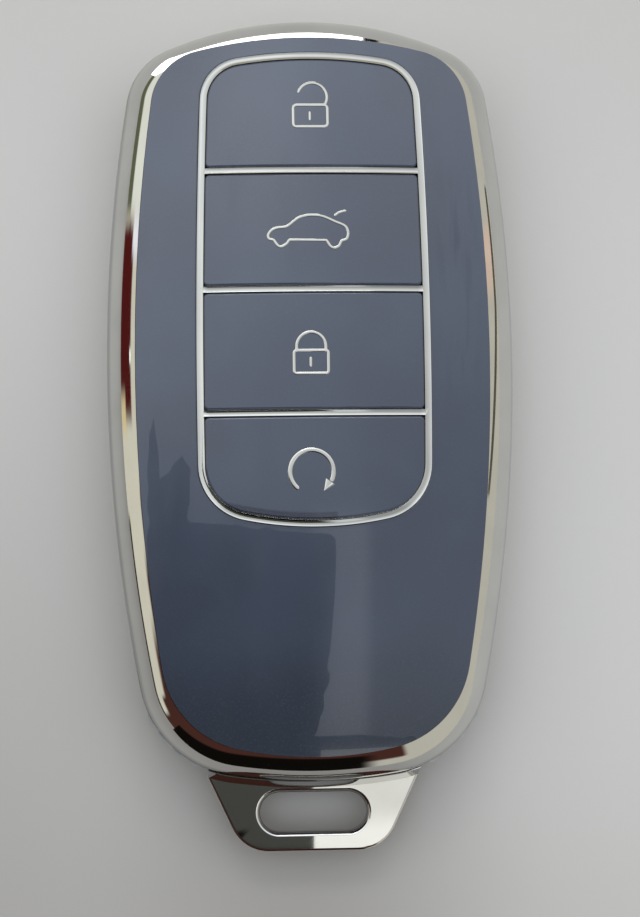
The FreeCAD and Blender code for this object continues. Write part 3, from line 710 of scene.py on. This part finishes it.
def ribbon_tree(name, with_stem):
    """Geometry nodes that sweep a rounded strip along lines and lay it on the crowned face."""
    tree = bpy.data.node_groups.new(name, "GeometryNodeTree")
    inputs = ["Crest", "Cross radius", "Long radius", "Top", "Underside", "Roundness", "Dish"]
    inputs += ["Stem width", "Stem depth"] if with_stem else []
    tree.interface.new_socket("Geometry", in_out="INPUT", socket_type="NodeSocketGeometry")
    for each in inputs:
        tree.interface.new_socket(each, in_out="INPUT", socket_type="NodeSocketFloat")
    tree.interface.new_socket("Material", in_out="INPUT", socket_type="NodeSocketMaterial")
    tree.interface.new_socket("Geometry", in_out="OUTPUT", socket_type="NodeSocketGeometry")
    nodes = Nodes(tree)
    given = nodes.make("NodeGroupInput")
    lines = nodes.make("GeometryNodeMeshToCurve", None, {"Mesh": given["Geometry"]})["Curve"]
    half = nodes.stored("half_width")

    sockets = {"Resolution": RING_POINTS, "Radius": 1.0}
    ring = nodes.make("GeometryNodeCurvePrimitiveCircle", None, sockets)["Curve"]
    x, y, _ = nodes.here()
    power = given["Roundness"]
    square = nodes.make(
        "ShaderNodeCombineXYZ", None, {0: x.sign() * abs(x) ** power, 1: y.sign() * abs(y) ** power}
    )[0]
    ring = nodes.moved(ring, Position=square)
    x, _, _ = nodes.here()
    settings = {"data_type": "FLOAT", "domain": "POINT"}
    sockets = {"Geometry": ring, "Name": "across", "Value": x}
    ring = nodes.make("GeometryNodeStoreNamedAttribute", settings, sockets)["Geometry"]
    across = nodes.stored("across")
    sockets = {"Curve": lines, "Profile Curve": ring, "Scale": half, "Fill Caps": True}
    strip = nodes.make("GeometryNodeCurveToMesh", None, sockets)["Mesh"]

    x, y, z = nodes.here()
    middle = 0.5 * (given["Top"] + given["Underside"])
    share_up = z / half
    level = middle + 0.5 * (given["Top"] - given["Underside"]) * share_up
    level = level - given["Dish"] * (1 - across * across) * share_up.ramp(0, 0.7)
    place = nodes.make("ShaderNodeCombineXYZ", None, {0: x, 1: y, 2: level})[0]
    strip = nodes.moved(strip, Position=place)

    solids = [strip]
    if with_stem:
        deep = given["Stem depth"] + middle
        sockets = {"Width": given["Stem width"], "Height": deep}
        web = nodes.make("GeometryNodeCurvePrimitiveQuadrilateral", None, sockets)["Curve"]
        sockets = {"Curve": lines, "Profile Curve": web, "Fill Caps": True}
        stem = nodes.make("GeometryNodeCurveToMesh", None, sockets)["Mesh"]
        low = nodes.make("ShaderNodeCombineXYZ", None, {2: middle - 0.5 * deep})[0]
        solids.append(nodes.moved(stem, Offset=low))
    settings = {"operation": "UNION", "solver": "EXACT"}
    sockets = {"Mesh 2": solids, "Self Intersection": True}
    whole = nodes.make("GeometryNodeMeshBoolean", settings, sockets)["Mesh"]

    x, y, _ = nodes.here()
    level = face_height(nodes, given["Crest"], given["Cross radius"], given["Long radius"])
    place = nodes.make("ShaderNodeCombineXYZ", None, {0: x, 1: y, 2: level})[0]
    whole = nodes.moved(whole, Position=place)
    angle = nodes.make("GeometryNodeInputMeshEdgeAngle")["Unsigned Angle"]
    soft = nodes.make("FunctionNodeCompare", {"operation": "LESS_THAN"}, {0: angle, 1: STRIP_CREASE})[0]
    whole = nodes.make(
        "GeometryNodeSetShadeSmooth", {"domain": "EDGE"}, {"Geometry": whole, "Shade Smooth": soft}
    )[0]
    whole = nodes.make("GeometryNodeRealizeInstances", None, {"Geometry": whole})[0]
    whole = nodes.make("GeometryNodeSetMaterial", None, {"Geometry": whole, "Material": given["Material"]})[0]
    nodes.make("NodeGroupOutput", None, {"Geometry": whole})
    return tree


def grown(name, mesh, tree, values):
    """A plain mesh object that a tree makes from a mesh, with the tree's inputs given by name."""
    piece = bpy.data.objects.new(name, mesh)
    bpy.context.scene.collection.objects.link(piece)
    modifier = piece.modifiers.new(tree.name, "NODES")
    modifier.node_group = tree
    for item in tree.interface.items_tree:
        if item.in_out == "INPUT" and item.name in values:
            modifier[item.identifier] = values[item.name]
    depsgraph = bpy.context.evaluated_depsgraph_get()
    final = bpy.data.meshes.new_from_object(piece.evaluated_get(depsgraph))
    if not final.polygons:
        raise RuntimeError(f"{name} came out empty")
    piece.modifiers.clear()
    piece.data = final
    final.name = name
    return piece


def face_values(scene, rise):
    """The crowned face's sizes for a tree, at a rise above the front panel."""
    face = scene.fob_face
    return {
        "Crest": face.crest + rise,
        "Cross radius": face.cross_radius,
        "Long radius": face.long_radius,
    }


def merged(node):
    """A copy of a solid's mesh, joined along its edges, ready for changes."""
    mesh = NODES[node].data.copy()
    kept = mesh.attributes.get("custom_normal")
    if kept:
        mesh.attributes.remove(kept)
    body = bmesh.new()
    body.from_mesh(mesh)
    bmesh.ops.remove_doubles(body, verts=body.verts, dist=0.002 * MM)
    return mesh, body


# How closely a facet follows a round, as a cosine: to belong to it, and to take its direction at a corner
ON_ROUND, FACES_ROUND = 0.93, 0.6
SHARP_EDGE = math.radians(25)


def exact(name, node, rides, normal_at, cuts):
    """A copy of a solid that stands in for it and whose round faces mirror without facets."""
    mesh, body = merged(node)

    def on_round(face):
        found = normal_at(face.calc_center_median())
        return found and found.dot(face.normal) > ON_ROUND

    rounds = [face for face in body.faces if on_round(face)]
    if not rounds:
        raise RuntimeError(f"{node} has no round faces")
    if cuts:
        edges = list({edge for face in rounds for edge in face.edges})
        bmesh.ops.subdivide_edges(body, edges=edges, cuts=cuts, use_grid_fill=True)
        bmesh.ops.triangulate(body, faces=body.faces)
    for face in body.faces:
        face.smooth = True
    for edge in body.edges:
        edge.smooth = edge.calc_face_angle(3) < SHARP_EDGE
    body.to_mesh(mesh)
    body.free()
    normals = [Vector(corner.vector) for corner in mesh.corner_normals]
    for face in mesh.polygons:
        for loop in face.loop_indices:
            found = normal_at(mesh.vertices[mesh.loops[loop].vertex_index].co)
            if found and found.dot(face.normal) > FACES_ROUND:
                normals[loop] = found
    mesh.normals_split_custom_set(normals)
    piece = bpy.data.objects.new(name, mesh)
    bpy.context.scene.collection.objects.link(piece)
    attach(piece, rides)
    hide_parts(node)


# Operators


class FOB_OT_plating(bpy.types.Operator):
    """Chrome on the rear tray, the front frame and the keyring tab"""

    bl_idname = "fob.plating"
    bl_label = "Plate rim and tab"

    def execute(self, context):
        tint = context.scene.fob_finishes.chrome
        chrome = finish("chrome_plating", plating_finish, tint, RIM_POLISH, rim_zones)
        dress(chrome, "front_frame", "keyring_tab")
        dress(finish("tray_plating", plating_finish, tint, RIM_POLISH, tray_zones), "rear_tray")
        exact("rim", "front_frame", "front_half", rim_normal, 2)
        exact("tab", "keyring_tab", "rear_half", bevel_normal, 0)
        return {"FINISHED"}


class FOB_OT_lacquer(bpy.types.Operator):
    """Blue lacquer on the panels and the keys"""

    bl_idname = "fob.lacquer"
    bl_label = "Lacquer face and keys"

    def execute(self, context):
        tints = context.scene.fob_finishes
        blue = finish("blue_lacquer", lacquer_finish, tints.blue, tints.blue_deep)
        dress(blue, "front_panel", "rear_panel", *[f"{key}_key" for key in KEYS])
        return {"FINISHED"}


class FOB_OT_bead(bpy.types.Operator):
    """Bright bead around and between the keys"""

    bl_idname = "fob.bead"
    bl_label = "Lay the bead"

    def execute(self, context):
        scene = context.scene
        bead = scene.fob_bead
        half = bead.width / 2 / MM
        lines = [(even(bowed_line(OUTER_BEAD), half), True)]
        lines += [(even(bar(y, half - BAR_OVERLAP), bead.bar_width / 2 / MM), False) for y in BARS]
        values = face_values(scene, 0)
        values.update({
            "Top": bead.rise,
            "Underside": bead.lift,
            "Roundness": bead.roundness,
            "Dish": bead.dish,
            "Stem width": bead.stem_width,
            "Stem depth": bead.stem_depth,
            "Material": bright_finish(scene),
        })
        mesh = line_mesh("bead_lines", lines)
        piece = grown("key_bead", mesh, ribbon_tree("Bead on the face", True), values)
        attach(piece, "front_half")
        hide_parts("key_grid")
        return {"FINISHED"}


class FOB_OT_signs(bpy.types.Operator):
    """Bright signs on the four keys"""

    bl_idname = "fob.signs"
    bl_label = "Lay the key signs"

    def execute(self, context):
        scene = context.scene
        signs = scene.fob_signs
        tree = ribbon_tree("Sign on a key", False)
        values = face_values(scene, scene.fob_face.key_rise)
        values.update({
            "Top": signs.rise,
            "Underside": -signs.sink,
            "Roundness": signs.roundness,
            "Material": bright_finish(scene),
        })
        for key in KEYS:
            piece = grown(f"{key}_sign", line_mesh(f"{key}_lines", sign_lines(key)), tree, values)
            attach(piece, f"{key}_button")
        return {"FINISHED"}


class FOB_OT_inner(bpy.types.Operator):
    """Soft tray behind the keys and its return rings"""

    bl_idname = "fob.inner"
    bl_label = "Dress the soft inner parts"

    def execute(self, context):
        rubber = finish("soft_rubber", rubber_finish, context.scene.fob_finishes.rubber)
        dress(rubber, "key_carrier")
        for key in KEYS:
            node = f"{key}_return_ring"
            mesh, ring = merged(node)
            ring.to_mesh(mesh)
            ring.free()
            mesh.materials.clear()
            mesh.materials.append(rubber)
            piece = bpy.data.objects.new(f"{key}_ring", mesh)
            context.scene.collection.objects.link(piece)
            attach(piece, "front_half")
            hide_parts(node)
            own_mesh(piece)
        return {"FINISHED"}


def card(name, material, corners, faces=None):
    """A sheet of the setting, with its corners in millimetres."""
    mesh = bpy.data.meshes.new(name)
    mesh.from_pydata([Vector(corner) * MM for corner in corners], [], faces or [range(len(corners))])
    mesh.materials.append(material)
    sheet = bpy.data.objects.new(name, mesh)
    bpy.context.scene.collection.objects.link(sheet)
    return sheet


def mirrored(name, corners, base, axis=0, patches=(), faces=None):
    """A sheet that only shows in bright surfaces: one colour, with patches along an axis and upwards."""
    material, nodes, surface, place = shader(name)
    parts = nodes.parts(place)
    along, up = parts[axis] / MM, parts[2] / MM
    shade = base
    for tint, (low, high), (bottom, top), soft in patches:
        inside = between(along, low, high, soft) * between(up, bottom, top, soft)
        shade = nodes.mix(inside, shade, tint)
    connect(nodes, surface, Base_Color=(0, 0, 0, 1), Roughness=1.0, Specular_IOR_Level=0.0)
    connect(nodes, surface, Emission_Color=shade if patches else (*base, 1), Emission_Strength=1.0)
    sheet = card(name, material, corners, faces)
    for way in ("camera", "diffuse", "transmission", "volume_scatter", "shadow"):
        setattr(sheet, f"visible_{way}", False)


# Things around the cover that its rim mirrors, in millimetres: each upright sheet's colour, the axis along
# which its patches lie, its line in plan, its height and the patches on it. A point of a line may also hold
# the sheet's foot and its own height there. A patch has a colour, two stretches and the softness of its edge.

CREAM = (0.87, 0.84, 0.71)
PEARL = (1.04, 1.07, 0.98)
PALE = (0.67, 0.65, 0.575)
MAROON = (0.10, 0.012, 0.012)
BROWN = (0.085, 0.032, 0.025)
OLIVE = (0.15, 0.165, 0.10)
TAN = (0.93, 0.78, 0.44)
PINK = (0.9, 0.70, 0.58)
DRAB = (0.11, 0.10, 0.075)
BLUISH = (1.2, 1.2, 1.3)
GLINT = (1.8, 1.95, 1.85)
WHITE = (4.0, 4.05, 4.1)
BLACK = (0.006, 0.005, 0.004)
LEFT, RIGHT, NEAR, FAR = -125, 250, -75, 155
SIDES = {
    "left_side": (CREAM, 1, ((LEFT, -150), (LEFT, FAR)), 170, (
        (PEARL, (46, 200), (22, 200), 3),
        (OLIVE, (45, 200), (-1, 22), 3),
        (BLACK, (-200, -20), (-1, 7), 2),
        (TAN, (-2, 7), (-1, 26), 3),
        (MAROON, (0.8, 42.8), (22, 52), 3),
        (MAROON, (5.8, 42.8), (-1, 30), 3),
        (BLUISH, (37, 46.5), (44, 78), 3),
        (GLINT, (13, 16), (46, 52), 1),
        (BROWN, (-300, -14), (70, 200), 3),
        (BROWN, (-300, -30), (60, 200), 5),
        (BROWN, (-300, -46), (45, 200), 6),
        (BROWN, (-300, -72), (28, 200), 6),
        (BROWN, (-300, -100), (-1, 200), 8),
    )),
    "far_side": (PALE, 0, ((LEFT, FAR), (RIGHT, FAR)), 170, (
        (PEARL, (-300, -72), (-1, 200), 2),
        (WHITE, (-72, 29), (-1, 70), 1),
        (BLACK, (29, 36), (-1, 70), 1),
    )),
    "window_side": (WHITE, 0, ((29, 154), (-10, 138), (-27, 98), (-27, 70, 1, 24), (-45, 65, 4, 13)), 35, ()),
    "right_side": (PALE, 1, ((RIGHT, FAR), (RIGHT, -150)), 170, (
        (PINK, (46, 68), (30, 200), 4),
    )),
    "near_side": (PALE, 0, ((RIGHT, NEAR), (-60, NEAR)), 70, (
        (BROWN, (-300, 21.5), (12, 100), 2),
        (BLACK, (-300, 12), (-1, 24), 2),
    )),
}
# Corners of the dark shape overhead
DARK_LEVEL = 420
DARK_SHAPE = (
    (-420, -80), (-224, -72), (-221, -46), (-221, -19), (-217, 8), (-211, 18), (-207, 8), (-203, -8),
    (-202, -21), (-187, -16), (-178, -11), (-164, -7), (-156, -13), (-154, -25), (-154, -35), (-159, -44),
    (-155, -47), (-113, -48), (-77, -50), (-41, -52), (-6, -54), (29, -55), (43, -56), (51, -59), (52, -66),
    (50, -89), (47, -105), (44, -120), (39, -133), (43, -138), (42, -144), (34, -152), (35, -160),
    (29, -167), (25, -175), (21, -178), (87, -179), (200, -189), (260, -195), (260, -900), (-420, -900),
)
# Corners of a dark strip at the right, which rises towards the near side
STRIP = (
    (249, 80, 8), (249, 40, 12), (249, 8, 50), (249, -20, 82), (249, -20, 108), (249, 8, 78), (249, 40, 36),
    (249, 80, 28),
)
# Small light over the right half of the tab
GLEAM = ((1.5, -58, 30), (18, -58, 30), (18, -44.5, 30), (1.5, -44.5, 30))


def surroundings(setting):
    """Sheets around and above the cover that its bright surfaces mirror."""
    for name, (base, axis, line, height, patches) in SIDES.items():
        count = len(line)
        feet = [(*point, 0)[:3] for point in line]
        heads = [(*point[:2], point[3] if len(point) > 3 else height) for point in line]
        faces = [(place, place + 1, place + 1 + count, place + count) for place in range(count - 1)]
        mirrored(name, feet + heads, base, axis, patches, faces)
    corners = [(x, y, DARK_LEVEL) for x, y in DARK_SHAPE]
    mirrored("dark_shape", corners, setting.dark, 1, ((BLACK, (-950, -135), (0, 950), 20),))
    mirrored("right_strip", STRIP, DRAB)
    bright = [1.25 * part for part in setting.gleam]
    mirrored("gleam", GLEAM, setting.gleam, 1, ((bright, (-80, -50), (0, 60), 2),))


BACKDROP = (0.82, 0.82, 0.82)


def room(scene):
    """Soft light that changes with its direction: bright above and far, cream at the sides, dark near."""
    setting = scene.fob_setting
    world = bpy.data.worlds.new("room")
    scene.world = world
    world.use_nodes = True
    world.node_tree.nodes.clear()
    nodes = Nodes(world.node_tree)
    x, y, z = nodes.parts(nodes.make("ShaderNodeTexCoord")["Generated"])
    ray = nodes.make("ShaderNodeLightPath")
    up = z.ramp(0.35, 0.9)
    across, along = x / z, y / z
    level = (0.61 + 1.25 * along - 0.33 * across).within(0.4, 1.2)
    aside = ((across + 0.12) * (across + 0.12) + (along - 0.42) * (along - 0.42)).root()
    cloud = 1 - aside.ramp(0.05, 0.3)
    pane = between(across, 0.05, 0.228, 0.03) * between(along, -0.37, -0.07, 0.02)
    glow = between(across, -0.6, 0.15, 0.1) * between(along, 0.85, 1.3, 0.08)
    level = level + 0.28 * cloud + 0.38 * pane + 1.5 * glow
    settings = {"operation": "SCALE"}
    sky = nodes.make("ShaderNodeVectorMath", settings, {0: setting.overhead, "Scale": level})[0]
    overhead = nodes.mix(ray["Is Glossy Ray"], setting.overhead, sky)
    light = nodes.mix(up, setting.walls, overhead)
    light = nodes.mix(0.85 * y.ramp(-0.3, -0.65), light, setting.shade)
    light = nodes.mix(ray["Is Camera Ray"], light, BACKDROP)
    back = nodes.make("ShaderNodeBackground", None, {"Color": light, "Strength": 1.0})
    nodes.make("ShaderNodeOutputWorld", None, {"Surface": back["Background"]})


def lamp(name, place, size, power):
    """A soft area lamp that faces the cover."""
    light = bpy.data.lights.new(name, "AREA")
    light.shape = "RECTANGLE"
    light.size, light.size_y = size
    light.energy = power
    item = bpy.data.objects.new(name, light)
    bpy.context.scene.collection.objects.link(item)
    item.location = place
    item.rotation_mode = "QUATERNION"
    item.rotation_quaternion = (-Vector(place)).to_track_quat("-Z", "Y")
    item.visible_camera = False


# Table in millimetres, window lamp in metres and camera in millimetres, with the camera's own axes
TABLE_REACH, TABLE_LEVEL = 1500, -0.02
WINDOW_AT, WINDOW_SIZE, WINDOW_POWER = (-0.03, 0.62, 0.62), (0.46, 0.16), 1.1
CAMERA_AT = (-16.06, -18.28, 280)
CAMERA_AXES = ((0.99801, -0.0123, 0.06192), (0.00962, 0.99901, 0.04344), (-0.0624, -0.04276, 0.99714))


class FOB_OT_stage(bpy.types.Operator):
    """Table, room, window light and camera"""

    bl_idname = "fob.stage"
    bl_label = "Set the stage"

    def execute(self, context):
        scene = context.scene
        setting = scene.fob_setting
        scene.view_settings.view_transform = "Standard"
        table = finish("table_top", table_finish, setting.table, setting.table_shaded)
        ways = ((-1, -1), (1, -1), (1, 1), (-1, 1))
        card("table", table, [(x * TABLE_REACH, y * TABLE_REACH, TABLE_LEVEL) for x, y in ways])
        room(scene)
        lamp("window", WINDOW_AT, WINDOW_SIZE, WINDOW_POWER)
        surroundings(setting)
        camera = bpy.data.objects.new("camera", bpy.data.cameras.new("camera"))
        scene.collection.objects.link(camera)
        camera.data.sensor_width = 36
        camera.data.lens = setting.lens
        camera.data.clip_start = 0.01
        turn = Matrix(CAMERA_AXES).transposed()
        camera.matrix_world = Matrix.Translation(Vector(CAMERA_AT) * MM) @ turn.to_4x4()
        scene.camera = camera
        return {"FINISHED"}


OPERATORS = (FOB_OT_plating, FOB_OT_lacquer, FOB_OT_bead, FOB_OT_signs, FOB_OT_inner, FOB_OT_stage)


class FOB_PT_cover(bpy.types.Panel):
    """Sizes, colours and steps of the key fob cover"""

    bl_label = "Key fob cover"
    bl_idname = "FOB_PT_cover"
    bl_space_type = "VIEW_3D"
    bl_region_type = "UI"
    bl_category = "Fob cover"

    def draw(self, context):
        for name, group in GROUPS.items():
            box = self.layout.box()
            box.label(text=group.__doc__)
            for key in group.__annotations__:
                box.prop(getattr(context.scene, name), key)
        for operator in OPERATORS:
            self.layout.operator(operator.bl_idname)


CLASSES = (*GROUPS.values(), *OPERATORS, FOB_PT_cover)


def register():
    for each in CLASSES:
        bpy.utils.register_class(each)
    for name, group in GROUPS.items():
        setattr(bpy.types.Scene, name, PointerProperty(type=group))


def unregister():
    for name in GROUPS:
        delattr(bpy.types.Scene, name)
    for each in reversed(CLASSES):
        bpy.utils.unregister_class(each)


def main():
    register()
    bpy.ops.fob.plating()
    bpy.ops.fob.lacquer()
    bpy.ops.fob.bead()
    bpy.ops.fob.signs()
    bpy.ops.fob.inner()
    bpy.ops.fob.stage()


if __name__ == "__main__":
    main()
